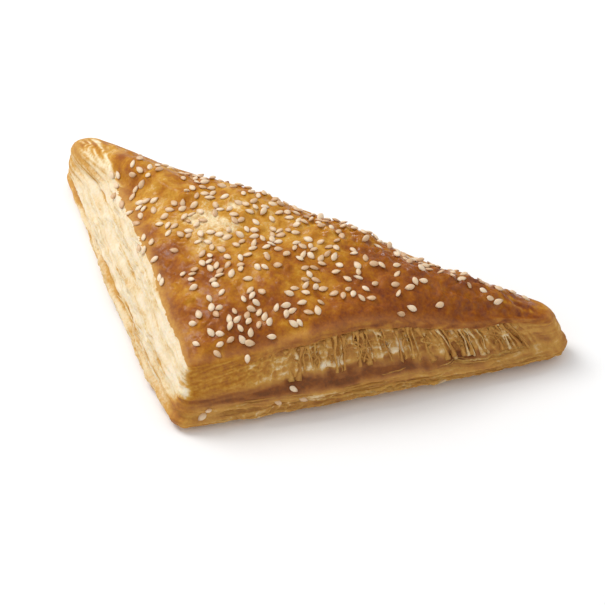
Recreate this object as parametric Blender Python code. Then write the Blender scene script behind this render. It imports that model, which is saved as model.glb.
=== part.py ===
"""Cheese boreka: a square of puff pastry folded corner to corner over its filling, puffed, glazed and seeded.

The pastry is one solid, with its sesame seeds baked on. The fold runs along X at the back, the two cut edges
meet at the front corner, and the flat base rests on Z = 0 with the origin under the middle of the whole.
"""

import math
import random

import bmesh
import bpy
import numpy as np
from mathutils import Matrix, Vector, geometry, noise
from mathutils.bvhtree import BVHTree

MM = 0.001

# The folded square, before its corners are rounded; both of its cut edges are one side of the sheet
CUT_EDGE = 129 * MM
FRONT_ANGLE = math.radians(95.6)
CORNER_RADII = (5.7 * MM, 4.3 * MM, 5.5 * MM)  # left tip, front corner, right tip
SIDE_BULGES = (1.6 * MM, 1.7 * MM, 1.3 * MM)  # left cut edge, front cut edge, fold
CENTRE_HEIGHT = 31.5 * MM
MEAN_SHOULDER = 24 * MM
DOME_SPREAD = 2.2  # the larger, the flatter the middle of the top
SHOULDER_EASE = 1.2 * MM  # how far in from the walls the top begins

# Place round the edge: 0 is the left tip, 1 the front corner, 2 the right tip, and 3 the left tip again.
SIDES = 3
CORNER_REACH = 0.06  # how much of that scale a rounded corner takes, each way
SHOULDER_HEIGHTS = (
    (0.0, 18.7 * MM),
    (0.12, 22.1 * MM),
    (0.5, 26.2 * MM),
    (1.0, 23.3 * MM),
    (1.5, 28.8 * MM),
    (1.85, 20.3 * MM),
    (2.0, 16.7 * MM),
    (2.2, 17.5 * MM),
    (2.55, 21.2 * MM),
    (2.85, 20 * MM),
)
WALL_LEANS = (
    (0.0, 2 * MM),
    (0.12, 9.8 * MM),
    (0.5, 9.1 * MM),
    (0.9, 5.8 * MM),
    (1.0, 4.6 * MM),
    (1.5, 5.4 * MM),
    (1.9, 4.7 * MM),
    (2.0, 3 * MM),
    (2.2, 7.2 * MM),
    (2.5, 6.9 * MM),
    (2.8, 6.7 * MM),
)
# 1 where the wall shows cut layers, and 0 along the fold, which is half round
CUT_SHARE = ((0.0, 0.8), (0.1, 1.0), (1.9, 1.0), (2.0, 0.7), (2.1, 0.0), (2.9, 0.0))
# How far the edge is lifted off the table, and how far its lowest sheet juts out or is tucked in
BASE_LIFTS = (
    (0.0, 1.4 * MM),
    (0.8, 1 * MM),
    (1.1, 1.1 * MM),
    (1.6, 2.2 * MM),
    (2.0, 1.4 * MM),
    (2.5, 1.1 * MM),
)
BASE_JUTS = (
    (0.0, -1.6 * MM),
    (0.2, -1.9 * MM),
    (0.55, -0.3 * MM),
    (0.85, 1.3 * MM),
    (1.0, 0.8 * MM),
    (1.3, 0.2 * MM),
    (1.7, -0.5 * MM),
    (2.0, -1.7 * MM),
    (2.3, -0.3 * MM),
    (2.8, 0.5 * MM),
)

# How far the layers stand out of a cut wall, from its base (0) to its shoulder (1). On the front wall the lower
# sheet ends in a ridge, and above it the upper sheet has torn open into a recess crossed by thin walls of dough.
FRONT_LAYERS = (
    (0.0, -1.4 * MM),
    (0.06, 0.3 * MM),
    (0.13, -0.7 * MM),
    (0.21, 0.9 * MM),
    (0.32, 1.6 * MM),
    (0.42, 0.4 * MM),
    (0.5, -1.6 * MM),
    (0.66, -2.5 * MM),
    (0.84, -2.2 * MM),
    (0.94, -0.1 * MM),
    (1.0, 0.0),
)
LEFT_LAYERS = (
    (0.0, -1.0 * MM),
    (0.06, 0.2 * MM),
    (0.13, 0.9 * MM),
    (0.21, -0.4 * MM),
    (0.32, 0.5 * MM),
    (0.42, 0.0),
    (0.5, 0.5 * MM),
    (0.66, -0.2 * MM),
    (0.82, 0.4 * MM),
    (0.92, 0.1 * MM),
    (1.0, 0.0),
)
FRONT_SIDE = ((0.92, 0.0), (1.12, 0.25), (1.35, 1.0), (1.86, 1.0), (2.1, 0.3), (2.9, 0.0))
SEAM_DROPS = ((1.0, -0.06), (1.3, 0.0), (1.5, 0.0), (1.75, 0.09), (1.95, 0.12), (2.2, 0.0), (3.0, 0.0))
FLUTTER = 0.55 * MM  # how far each layer wavers in and out
WAVER = 0.035  # how far it wavers up and down, as a share of the wall

# Broad puffed places of the top: centre X and Y, radius, height
BLISTERS = (
    (-18 * MM, 28 * MM, 14 * MM, 3.1 * MM),
    (19 * MM, 28 * MM, 11 * MM, 3.4 * MM),
    (-24 * MM, -4 * MM, 7 * MM, -1.6 * MM),
    (4 * MM, 2 * MM, 14 * MM, 1.2 * MM),
    (-52 * MM, 26 * MM, 10 * MM, 0.6 * MM),
)
RIPPLE = 0.9 * MM
RIPPLE_LENGTH = 17 * MM

# How finely the solid is cut up
CORNER_STEPS = 7
SIDE_STEPS = (28, 34, 24)
TOP_RINGS = 7
TOP_SPACING = 5 * MM

# Thin upright walls of torn dough in the recess of the front wall
FINS = 20
FIN_DRAW = 5
FIN_REACH = (1.27, 1.9)  # places along the front wall
FIN_LEVELS = (0.4, 0.58, 0.76, 0.93)
FIN_THICKNESS = 0.8 * MM
FIN_ROOT = 0.7 * MM  # how deep it stands in the dough
FIN_FRONT = -0.4 * MM  # how far it stands out, and how much less halfway up
FIN_HOLLOW = 0.9 * MM

# Sesame seeds
SEEDS = 168
SEED_DRAW = 11
SEED_LENGTH = 3.0 * MM
SEED_WIDTH = 1.95 * MM
SEED_THICKNESS = 1.1 * MM
SEED_GAP = 1.9 * MM
SEED_SUNK = 0.2  # share of its thickness below the crust
SEED_CLUMP = 9 * MM
SEED_REACH = 0.83  # share of the way from the middle of the top to its edge
# Where most of them fell: centre X and Y, radius, share
SEEDED_PLACES = (
    (-32 * MM, 13 * MM, 18 * MM, 0.8),
    (-5 * MM, 20 * MM, 22 * MM, 0.7),
    (25 * MM, 20 * MM, 20 * MM, 0.5),
    (5 * MM, -2 * MM, 15 * MM, 0.6),
    (14 * MM, -15 * MM, 13 * MM, 0.9),
    (2 * MM, -28 * MM, 8 * MM, 0.4),
    (50 * MM, 24 * MM, 14 * MM, 0.25),
    (-52 * MM, 24 * MM, 9 * MM, 0.5),
)
SEED_SIDES = 5
SEED_SECTIONS = ((0.22, 0.8), (0.66, 0.86))  # share of length, share of half width


def ease(share):
    return share * share * (3 - 2 * share)


def along(table, place, period=None):
    """The table's value at a place, eased from each entry to the next, and round again after a period."""
    entries = list(table)
    if period:
        place = (place - entries[0][0]) % period + entries[0][0]
        entries.append((entries[0][0] + period, entries[0][1]))
    for (low, first), (high, last) in zip(entries, entries[1:]):
        if place <= high:
            return first + (last - first) * ease(max(0.0, (place - low) / (high - low)))
    return entries[-1][1]


def corners():
    """The left tip, front corner and right tip, with the fold along X."""
    half_fold = CUT_EDGE * math.sin(FRONT_ANGLE / 2)
    half_depth = CUT_EDGE * math.cos(FRONT_ANGLE / 2) / 2
    return [Vector((-half_fold, half_depth)), Vector((0, -half_depth)), Vector((half_fold, half_depth))]


def incircle(points):
    """Centre and radius of the circle that touches the three sides."""
    left, front, right = points
    sides = ((front - right).length, (left - right).length, (left - front).length)
    around = sum(sides)
    centre = (left * sides[0] + front * sides[1] + right * sides[2]) / around
    half = around / 2
    radius = math.sqrt((half - sides[0]) * (half - sides[1]) * (half - sides[2]) / half)
    return centre, radius


class Edge:
    """The rounded triangle of the base, seen from above against the clock."""

    def __init__(self):
        self.corners = corners()
        self.centre, self.inradius = incircle(self.corners)
        self.arcs = []
        for i, point in enumerate(self.corners):
            back = (self.corners[i - 1] - point).normalized()
            on = (self.corners[(i + 1) % SIDES] - point).normalized()
            half = back.angle(on) / 2
            reach = CORNER_RADII[i] / math.tan(half)
            middle = point + (back + on).normalized() * CORNER_RADII[i] / math.sin(half)
            start = point + back * reach - middle
            turn = math.pi - 2 * half
            self.arcs.append((middle, math.atan2(start.y, start.x), turn))

    def on_arc(self, i, share):
        middle, first, turn = self.arcs[i]
        out = Vector((math.cos(first + turn * share), math.sin(first + turn * share)))
        return middle + out * CORNER_RADII[i], out

    def at(self, place):
        """The point of the edge at a place, and the direction out of the wall there."""
        place = place % SIDES
        i = int(place)
        share = place - i
        if share < CORNER_REACH:
            return self.on_arc(i, 0.5 + share / CORNER_REACH / 2)
        if share > 1 - CORNER_REACH:
            return self.on_arc((i + 1) % SIDES, 0.5 - (1 - share) / CORNER_REACH / 2)
        start, out = self.on_arc(i, 1)
        end, _ = self.on_arc((i + 1) % SIDES, 0)
        share = (share - CORNER_REACH) / (1 - 2 * CORNER_REACH)
        return start.lerp(end, share) + out * SIDE_BULGES[i] * math.sin(math.pi * share), out

    def inset(self, point, depth):
        """A point moved in, so that each side of the triangle moves in by the depth."""
        return point.lerp(self.centre, depth / self.inradius)

    def arch(self, spot, share, start):
        """How far up the dome a point of the top is: 0 at the shoulder, about 1 over the middle."""
        product = share * (self.inradius - start) / (start + share * (self.inradius - start))
        for low, high in zip(self.corners, self.corners[1:] + self.corners[:1]):
            product *= max(0.0, (high - low).normalized().cross(spot - low)) / self.inradius
        return (1 - math.exp(-DOME_SPREAD * product)) / (1 - math.exp(-DOME_SPREAD))


def places():
    """The places round the edge where the solid has a column of points."""
    found = []
    for i, steps in enumerate(SIDE_STEPS):
        low, high = i + CORNER_REACH, i + 1 - CORNER_REACH
        found += [i + CORNER_REACH * (2 * step / CORNER_STEPS - 1) for step in range(CORNER_STEPS)]
        found += [low + (high - low) * step / steps for step in range(steps)]
    return found


def top_relief(x, y):
    """Puffed places and ripples of the top sheet."""
    rise = RIPPLE * noise.noise(Vector((x, y, 0)) / RIPPLE_LENGTH)
    rise += RIPPLE / 2 * noise.noise(Vector((x, y, 1)) / RIPPLE_LENGTH * 2.3)
    for centre_x, centre_y, radius, height in BLISTERS:
        away = math.hypot(x - centre_x, y - centre_y) / radius
        rise += height * math.exp(-away * away)
    return rise


def wall_relief(place, level):
    """How far the cut layers stand out at a place round the edge and a share of the wall's height."""
    share = along(FRONT_SIDE, place, SIDES)
    drop = along(SEAM_DROPS, place, SIDES) * math.sin(math.pi * min(1.0, level * 1.1))
    front = along(FRONT_LAYERS, min(1.0, level + drop))
    layers = share * front + (1 - share) * along(LEFT_LAYERS, level)
    flutter = FLUTTER * noise.noise(Vector((place * 21, level * 5, 4)))
    return (layers + flutter) * along(CUT_SHARE, place, SIDES)


def wall_point(edge, place, level, proud=None):
    """A point of the wall, or one that stands proud of its bare plane by the distance given."""
    point, out = edge.at(place)
    height, lean = along(SHOULDER_HEIGHTS, place, SIDES), along(WALL_LEANS, place, SIDES)
    cut = along(CUT_SHARE, place, SIDES)
    cut_depth = lean * level**1.4
    fold_depth = lean * (1 - math.sqrt(max(0.0, 1 - level * level))) + 2.5 * MM * (1 - level) ** 3
    proud = wall_relief(place, level) if proud is None else proud
    proud += along(BASE_JUTS, place, SIDES) * (1 - level) ** 3
    spot = edge.inset(point, cut_depth * cut + fold_depth * (1 - cut)) + out * proud
    waver = WAVER * cut * math.sin(math.pi * level) * noise.noise(Vector((place * 13, level * 2, 9)))
    lift = along(BASE_LIFTS, place, SIDES) * (1 - level) ** 6
    rise = height - SHOULDER_EASE * (0.3 + 0.4 * cut)
    return Vector((spot.x, spot.y, rise * (level + waver) + lift))


def top_point(edge, place, share):
    """A point of the top, a share of the way from the shoulder to the middle."""
    height, lean = along(SHOULDER_HEIGHTS, place, SIDES), along(WALL_LEANS, place, SIDES)
    start = lean + SHOULDER_EASE
    spot = edge.inset(edge.at(place)[0], start + (edge.inradius - start) * share)
    shoulder = MEAN_SHOULDER + (height - MEAN_SHOULDER) * (1 - share) ** 1.5
    rise = top_relief(spot.x, spot.y) * min(1.0, share * 5)
    return Vector((spot.x, spot.y, shoulder + (CENTRE_HEIGHT - shoulder) * edge.arch(spot, share, start) + rise))


def top_points(edge):
    """Points spread over the top inside its shoulder."""
    for step in range(1, TOP_RINGS + 1):
        share = step / (TOP_RINGS + 0.7)
        for i, corner in enumerate(edge.corners):
            length = (edge.corners[(i + 1) % SIDES] - corner).length * (1 - share)
            steps = max(2, round(length / TOP_SPACING))
            for k in range(steps):
                yield top_point(edge, i + (k + 0.5 * (step % 2)) / steps, share)
    yield top_point(edge, 0, 1)


def skin(shape, rings):
    """Faces between rings that run against the clock, bottom to top; returns the rings' corners."""
    rows = [[shape.verts.new(point) for point in ring] for ring in rings]
    for low, high in zip(rows, rows[1:]):
        for i, vert in enumerate(low):
            after = (i + 1) % len(low)
            shape.faces.new((vert, low[after], high[after], high[i]))
    return rows


def finished(shape, name):
    bmesh.ops.triangulate(shape, faces=shape.faces)
    mesh = bpy.data.meshes.new(name)
    shape.to_mesh(mesh)
    shape.free()
    return mesh


def close_base(shape, edge, columns, row):
    """A flat triangle on the table, and an underside that rises from its three corners to the edge."""
    feet = [shape.verts.new(middle.to_3d()) for middle, _, _ in edge.arcs]
    shape.faces.new(reversed(feet))
    nearest = [round(place) % SIDES for place in columns]
    for i, vert in enumerate(row):
        after = (i + 1) % len(row)
        foot, next_foot = feet[nearest[i]], feet[nearest[after]]
        shape.faces.new((row[after], vert, foot))
        if next_foot is not foot:
            shape.faces.new((row[after], foot, next_foot))


def pastry_mesh(edge):
    columns = places()
    rings = [[wall_point(edge, place, level) for place in columns] for level, _ in FRONT_LAYERS]
    rings.append([top_point(edge, place, 0) for place in columns])
    shape = bmesh.new()
    rows = skin(shape, rings)
    close_base(shape, edge, columns, rows[0])
    verts = rows[-1] + [shape.verts.new(point) for point in top_points(edge)]
    spots = [vert.co.to_2d() for vert in verts]
    rim = [(i, (i + 1) % len(columns)) for i in range(len(columns))]
    _, _, faces, sources, _, _ = geometry.delaunay_2d_cdt(spots, rim, [], 1, 1e-7)
    for face in faces:
        shape.faces.new([verts[sources[i][0]] for i in face])
    return finished(shape, "boreka")


def mesh_of(rings, low_end, high_end, name):
    """A closed mesh of rings with a point at each end."""
    shape = bmesh.new()
    rows = skin(shape, rings)
    for row, end, turn in ((rows[0], low_end, 1), (rows[-1], high_end, -1)):
        pole = shape.verts.new(end)
        for i, vert in enumerate(row):
            after = row[(i + 1) % len(row)]
            shape.faces.new((vert, pole, after) if turn > 0 else (after, pole, vert))
    return finished(shape, name)


def fin_mesh(edge, place, slant):
    """One thin wall of dough that stands in the recess from its floor to near the front."""
    rings = []
    for i, level in enumerate(FIN_LEVELS):
        share = i / (len(FIN_LEVELS) - 1)
        at = place + slant * share
        out = edge.at(at)[1].to_3d()
        beside = Vector((-out.y, out.x, 0)) * FIN_THICKNESS / 2
        floor = min(wall_relief(at, level), FIN_FRONT) - FIN_ROOT
        back = wall_point(edge, at, level, floor)
        front = wall_point(edge, at, level, FIN_FRONT - FIN_HOLLOW * math.sin(math.pi * share))
        rings.append([back - beside, front - beside / 2, front + beside / 2, back + beside])
    ends = [sum(ring, Vector()) / len(ring) for ring in (rings[0], rings[-1])]
    return mesh_of(rings, *ends, "fin")


def fins(edge):
    draw = random.Random(FIN_DRAW)
    low, high = FIN_REACH
    for step in range(FINS):
        place = low + (high - low) * (step + draw.uniform(0.15, 0.85)) / FINS
        yield fin_mesh(edge, place, draw.uniform(-0.015, 0.015))


def seed_density(x, y):
    """How thickly a place on the top is seeded, from 0 to 1."""
    thick = sum(share * math.exp(-((x - u) ** 2 + (y - v) ** 2) / r**2) for u, v, r, share in SEEDED_PLACES)
    clumps = 0.65 + 1.2 * noise.noise(Vector((x, y, 7 * MM)) / SEED_CLUMP)
    return min(1.0, thick) * max(0.08, clumps)


def seed_places(edge, count):
    """(x, y, turn) of each seed, drawn one by one and kept a little apart."""
    draw = random.Random(SEED_DRAW)
    left, front, right = edge.corners
    kept = []
    while len(kept) < count:
        spot = Vector((draw.uniform(left.x, right.x), draw.uniform(front.y, left.y)))
        luck, turn = draw.random(), draw.uniform(0, math.tau)
        reached = edge.centre + (spot - edge.centre) / SEED_REACH
        inside = all(
            (b - a).cross(reached - a) > 0 for a, b in ((left, front), (front, right), (right, left))
        )
        if not inside or luck > seed_density(*spot):
            continue
        if all(math.dist(spot, other) > SEED_GAP for other, _ in kept):
            kept.append((spot, turn))
    return kept


def seed_mesh():
    """One low flattened teardrop, its length along X and its crust side down."""
    rings = []
    for share, width in SEED_SECTIONS:
        x = (share - 0.5) * SEED_LENGTH
        angles = [math.tau * side / SEED_SIDES for side in range(SEED_SIDES)]
        half_width, half_thickness = width * SEED_WIDTH / 2, width * SEED_THICKNESS / 2
        rings.append([Vector((x, math.cos(a) * half_width, math.sin(a) * half_thickness)) for a in angles])
    ends = Vector((-SEED_LENGTH / 2, 0, 0)), Vector((SEED_LENGTH / 2, 0, 0))
    return mesh_of(rings, *ends, "seed")


def seeds(edge, mesh):
    """(mesh, matrix) of each seed, lying on the crust."""
    surface = BVHTree.FromPolygons([v.co for v in mesh.vertices], [f.vertices for f in mesh.polygons])
    shape = seed_mesh()
    for spot, turn in seed_places(edge, SEEDS):
        found, up, _, _ = surface.ray_cast(Vector((spot.x, spot.y, 1)), Vector((0, 0, -1)))
        facing = up.to_track_quat("Z", "X").to_matrix() @ Matrix.Rotation(turn, 3, "Z")
        centre = found + up * SEED_THICKNESS * (0.5 - SEED_SUNK)
        yield shape, Matrix.Translation(centre) @ facing.to_4x4()


def fuse(pastry, pieces):
    """Joins loose pieces to the pastry in one Boolean union."""
    loose = bpy.data.collections.new("loose pieces")
    bpy.context.scene.collection.children.link(loose)
    for mesh, matrix in pieces:
        piece = bpy.data.objects.new(mesh.name, mesh)
        piece.matrix_world = matrix
        loose.objects.link(piece)
    join = pastry.modifiers.new("baked on", "BOOLEAN")
    join.operation = "UNION"
    join.operand_type = "COLLECTION"
    join.collection = loose
    join.solver = "EXACT"
    bpy.context.view_layer.update()
    pastry.data = bpy.data.meshes.new_from_object(pastry.evaluated_get(bpy.context.evaluated_depsgraph_get()))
    pastry.modifiers.clear()
    for piece in list(loose.objects):
        bpy.data.objects.remove(piece)
    bpy.data.collections.remove(loose)


def crust_material():
    material = bpy.data.materials.new("baked crust")
    material.use_nodes = True
    shader = material.node_tree.nodes["Principled BSDF"]
    shader.inputs["Base Color"].default_value = (0.62, 0.33, 0.09, 1)
    shader.inputs["Roughness"].default_value = 0.45
    shader.inputs["Metallic"].default_value = 0
    return material


def centre_over_origin(mesh):
    """Puts the middle of the whole's base at the origin."""
    points = np.array([vert.co for vert in mesh.vertices])
    low, high = points.min(axis=0), points.max(axis=0)
    mesh.transform(Matrix.Translation(Vector((-(low[0] + high[0]) / 2, -(low[1] + high[1]) / 2, -low[2]))))


def main():
    for thing in list(bpy.data.objects):
        bpy.data.objects.remove(thing)
    edge = Edge()
    mesh = pastry_mesh(edge)
    pastry = bpy.data.objects.new("boreka", mesh)
    bpy.context.scene.collection.objects.link(pastry)
    torn = [(fin, Matrix.Identity(4)) for fin in fins(edge)]
    fuse(pastry, torn + list(seeds(edge, mesh)))
    centre_over_origin(pastry.data)
    pastry.data.materials.clear()
    pastry.data.materials.append(crust_material())
    pastry.data.shade_smooth()
    pastry.data.set_sharp_from_angle(angle=math.radians(40))


main()
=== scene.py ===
"""A cheese boreka: puff pastry folded corner to corner, glazed, sprinkled with sesame and baked."""

import math
import random

import bpy
import numpy as np
from mathutils import Matrix, Vector, geometry, noise
from mathutils.bvhtree import BVHTree


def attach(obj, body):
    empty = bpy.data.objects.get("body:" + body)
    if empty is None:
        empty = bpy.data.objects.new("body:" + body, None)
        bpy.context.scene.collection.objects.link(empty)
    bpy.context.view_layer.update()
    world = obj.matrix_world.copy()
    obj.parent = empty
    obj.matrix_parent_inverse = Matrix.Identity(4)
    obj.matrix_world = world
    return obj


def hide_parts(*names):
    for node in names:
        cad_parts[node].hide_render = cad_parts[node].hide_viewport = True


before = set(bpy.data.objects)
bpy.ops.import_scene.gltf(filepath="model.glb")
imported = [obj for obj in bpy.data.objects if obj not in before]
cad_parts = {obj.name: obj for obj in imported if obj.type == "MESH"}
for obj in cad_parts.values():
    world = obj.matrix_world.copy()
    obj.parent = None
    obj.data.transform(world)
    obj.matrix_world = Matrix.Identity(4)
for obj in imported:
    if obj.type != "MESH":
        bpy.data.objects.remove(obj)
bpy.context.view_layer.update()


# The folded pastry: a square sheet of puff pastry folded corner to corner over its filling, so it is a
# triangle with a round fold at the back and two cut edges that meet at the front corner. A place round the
# edge is 0 at the left tip, 1 at the front corner, 2 at the right tip, and 3 at the left tip again.
MM = 0.001
SIDES = 3
CUT_EDGE = 129 * MM
FRONT_ANGLE = math.radians(95.6)
CORNER_RADII = np.array((5.7, 4.3, 5.5)) * MM
SIDE_BULGES = np.array((1.6, 1.7, 1.3)) * MM
CORNER_REACH = 0.06
HOME = Vector((0.09 * MM, -0.32 * MM, 0))  # puts the middle of the whole over the origin


def along(table, place):
    """The table's value at each place, eased from one entry to the next."""
    stops, values = np.array(table, float).T
    i = np.clip(np.searchsorted(stops, place, side="right") - 1, 0, len(stops) - 2)
    share = np.clip((place - stops[i]) / (stops[i + 1] - stops[i]), 0, 1)
    return values[i] + (values[i + 1] - values[i]) * share**2 * (3 - 2 * share)


def around(table, place):
    """The same for a table that goes once round the edge."""
    (first, value), *_ = table
    return along(table + ((first + SIDES, value),), (np.asarray(place) - first) % SIDES + first)


half_fold, half_depth = CUT_EDGE * math.sin(FRONT_ANGLE / 2), CUT_EDGE * math.cos(FRONT_ANGLE / 2) / 2
CORNERS = [Vector((-half_fold, half_depth)), Vector((0, -half_depth)), Vector((half_fold, half_depth))]
side_lengths = [(CORNERS[(i + 1) % SIDES] - CORNERS[i]).length for i in range(SIDES)]
opposite = side_lengths[1:] + side_lengths[:1]
CENTRE = sum((corner * side for corner, side in zip(CORNERS, opposite)), Vector((0, 0))) / sum(opposite)
half_round = sum(side_lengths) / 2
INRADIUS = math.sqrt(math.prod(half_round - side for side in side_lengths) / half_round)

arcs = []
for i, corner in enumerate(CORNERS):
    back, on = (CORNERS[i - 1] - corner).normalized(), (CORNERS[(i + 1) % SIDES] - corner).normalized()
    half = back.angle(on) / 2
    middle = corner + (back + on).normalized() * CORNER_RADII[i] / math.sin(half)
    start = corner + back * CORNER_RADII[i] / math.tan(half) - middle
    arcs.append((*middle, math.atan2(start.y, start.x), math.pi - 2 * half))
ARCS = np.array(arcs)


def on_arc(i, share):
    turned = ARCS[i, 2] + ARCS[i, 3] * share
    out = np.stack((np.cos(turned), np.sin(turned)), -1)
    return ARCS[i, :2] + out * CORNER_RADII[i][..., None], out


def edge_at(place):
    """The point of the edge at each place, and the direction out of the wall there."""
    place = np.asarray(place, float) % SIDES
    side = np.minimum(place.astype(int), SIDES - 1)
    share = place - side
    late = share > 0.5
    corner_share = 0.5 + np.where(late, share - 1, share) / CORNER_REACH / 2
    corner_point, corner_out = on_arc(np.where(late, (side + 1) % SIDES, side), corner_share)
    start, out = on_arc(side, np.ones_like(share))
    end, _ = on_arc((side + 1) % SIDES, np.zeros_like(share))
    share = ((share - CORNER_REACH) / (1 - 2 * CORNER_REACH))[..., None]
    bulge = SIDE_BULGES[side][..., None] * np.sin(np.pi * np.clip(share, 0, 1))
    straight = (share > 0) & (share < 1)
    point = np.where(straight, start + (end - start) * share + out * bulge, corner_point)
    return point, np.where(straight, out, corner_out)


def lumps(*where):
    """Soft noise, about -1 to 1, at each point whose three coordinates are given."""
    where = np.broadcast_arrays(*where)
    points = np.stack([part.ravel() for part in where], -1).tolist()
    return np.array([noise.noise(point) for point in points]).reshape(where[0].shape)


# The cut walls: two edges of laminated dough that puffed up and split along their layers. The front one has
# torn open above a ridge, and thin walls of dough still cross the gap. They lean in, and are shaped from
# how far each layer stands out at a share of the wall's height.
SHOULDER_EASE = 1.2 * MM
SHOULDER_HEIGHTS = (
    (0.0, 18.7),
    (0.12, 22.1),
    (0.5, 26.2),
    (1.0, 23.3),
    (1.5, 28.8),
    (1.85, 20.3),
    (2.0, 16.7),
    (2.2, 17.5),
    (2.55, 21.2),
    (2.85, 20),
)
WALL_LEANS = (
    (0.0, 2),
    (0.12, 9.8),
    (0.5, 9.1),
    (0.9, 5.8),
    (1.0, 4.6),
    (1.5, 5.4),
    (1.9, 4.7),
    (2.0, 3),
    (2.2, 7.2),
    (2.5, 6.9),
    (2.8, 6.7),
)
CUT_SHARE = ((0.0, 0.8), (0.1, 1.0), (1.9, 1.0), (2.0, 0.7), (2.1, 0.0), (2.9, 0.0))
BASE_LIFTS = ((0.0, 1.4), (0.8, 1.0), (1.1, 1.1), (1.6, 2.2), (2.0, 1.4), (2.5, 1.1))
BASE_JUTS = (
    (0.0, -1.6),
    (0.2, -1.9),
    (0.55, -0.3),
    (0.85, 1.3),
    (1.0, 0.8),
    (1.3, 0.2),
    (1.7, -0.5),
    (2.0, -1.7),
    (2.3, -0.3),
    (2.8, 0.5),
)
FRONT_LAYERS = (
    (0.0, -1.4),
    (0.06, 0.3),
    (0.13, -0.7),
    (0.21, 0.9),
    (0.32, 1.6),
    (0.42, 0.4),
    (0.5, -1.6),
    (0.66, -2.5),
    (0.84, -2.2),
    (0.94, -0.1),
    (1.0, 0.0),
)
LEFT_LAYERS = (
    (0.0, -1.0),
    (0.06, 0.2),
    (0.13, 0.9),
    (0.21, -0.4),
    (0.32, 0.5),
    (0.42, 0.0),
    (0.5, 0.5),
    (0.66, -0.2),
    (0.82, 0.4),
    (0.92, 0.1),
    (1.0, 0.0),
)
FRONT_SIDE = ((0.92, 0.0), (1.12, 0.25), (1.35, 1.0), (1.86, 1.0), (2.1, 0.3), (2.9, 0.0))
SEAM_DROPS = ((1.0, -0.06), (1.3, 0.0), (1.5, 0.0), (1.75, 0.09), (1.95, 0.12), (2.2, 0.0), (3.0, 0.0))
RIM_DROPS = (
    (0.0, 0.4),
    (0.9, 0.8),
    (1.0, 1.8),
    (1.2, 2.4),
    (1.5, 1.8),
    (1.85, 1.0),
    (2.0, 0.4),
    (2.9, 0.2),
)
RIM_START = 0.55  # the level where the walls begin to drop towards the rim
LEAN_CURVE = 1.4
FOLD_TUCK = 2.5  # how far the fold tucks in under itself at the base, in millimetres
LAYER_WAVES = ((0.07, 15, 2, 11), (0.04, 42, 5, 12))  # share of the height, how often round and up, key
FLUTTER = 0.55
WAVER = 0.035
TORN = ((1.1, 0.0), (1.3, 1.0), (1.9, 1.0), (1.97, 0.0))  # where along the front the wall is torn open
TORN_LEVELS = ((0.4, 0.0), (0.52, 1.0), (0.8, 1.0), (0.93, 0.0))


def seam_drop(place, level):
    """How much lower the layers of the front wall lie, as a share of its height."""
    return around(SEAM_DROPS, place) * np.sin(np.pi * np.minimum(1, level * 1.1))


def torn_share(place, level):
    """1 where the front wall is torn open, 0 where it is whole."""
    return along(TORN, place) * along(TORN_LEVELS, level + seam_drop(place, level))


def wall_relief(place, level):
    """How far the dough stands out of the wall's bare plane, in metres."""
    share = around(FRONT_SIDE, place)
    wave = sum(size * lumps(place * often, level * rows, key) for size, often, rows, key in LAYER_WAVES)
    drop = seam_drop(place, level) + wave * np.sin(np.pi * np.clip(level, 0, 1))
    front = along(FRONT_LAYERS, np.minimum(1, level + drop))
    layers = share * front + (1 - share) * along(LEFT_LAYERS, level)
    flutter = FLUTTER * lumps(place * 21, level * 5, 4)
    return (layers + flutter) * around(CUT_SHARE, place) * MM


def wall_surface(place, level, proud):
    """Points of the walls and the fold, standing proud of their bare plane."""
    place, level = np.broadcast_arrays(np.asarray(place, float), np.asarray(level, float))
    point, out = edge_at(place)
    height, lean, cut = (around(table, place) for table in (SHOULDER_HEIGHTS, WALL_LEANS, CUT_SHARE))
    cut_depth = lean * level**LEAN_CURVE
    fold_depth = lean * (1 - np.sqrt(np.maximum(0, 1 - level**2))) + FOLD_TUCK * (1 - level) ** 3
    depth = (cut_depth * cut + fold_depth * (1 - cut)) * MM / INRADIUS
    proud = proud + around(BASE_JUTS, place) * (1 - level) ** 3 * MM
    spot = point + (np.array(CENTRE) - point) * depth[..., None] + out * proud[..., None]
    waver = WAVER * cut * np.sin(np.pi * level) * lumps(place * 13, level * 2, 9)
    rise = height * MM - SHOULDER_EASE * (0.3 + 0.4 * cut)
    z = rise * (level + waver) + around(BASE_LIFTS, place) * (1 - level) ** 6 * MM
    z = z - around(RIM_DROPS, place) * np.clip((level - RIM_START) / (1 - RIM_START), 0, 1) ** 2 * MM
    return np.concatenate((spot, z[..., None]), -1)


# The top sheet: one smooth skin of dough, domed over the filling, with puffed places, ripples and a few
# blisters, brushed with egg and baked to a gloss.
CENTRE_HEIGHT = 31.5 * MM
MEAN_SHOULDER = 24 * MM
DOME_SPREAD = 2.2
RIPPLE = 0.9
RIPPLE_LENGTH = 17 * MM
FINER = 2.3  # how many times shorter the second ripples are
PUFFED_PLACES = (  # centre X and Y, radius, height, in millimetres
    (-18, 28, 14, 3.1),
    (19, 28, 11, 3.4),
    (-24, -4, 7, -1.6),
    (4, 2, 14, 1.2),
    (-52, 26, 10, 0.6),
)
CRACKLE_START = (-20, 15)  # X and Y, in millimetres, where the crackled skin along the fold begins
CRACKLE_EASE = (40, 9)  # how much further on it is at full strength
WANDER = 3
CREASE_DEPTH = 0.5
WRINKLE_HEIGHT = 0.6
PITS = ((0.34, 3, 3, 32), (0.1, 1.4, 1.4, 33))  # strength, length along X and Y in millimetres, key
CRACKLES = ((1.1, 2.3, 1.6, 36), (0.6, 4.5, 2.5, 37))


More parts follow.
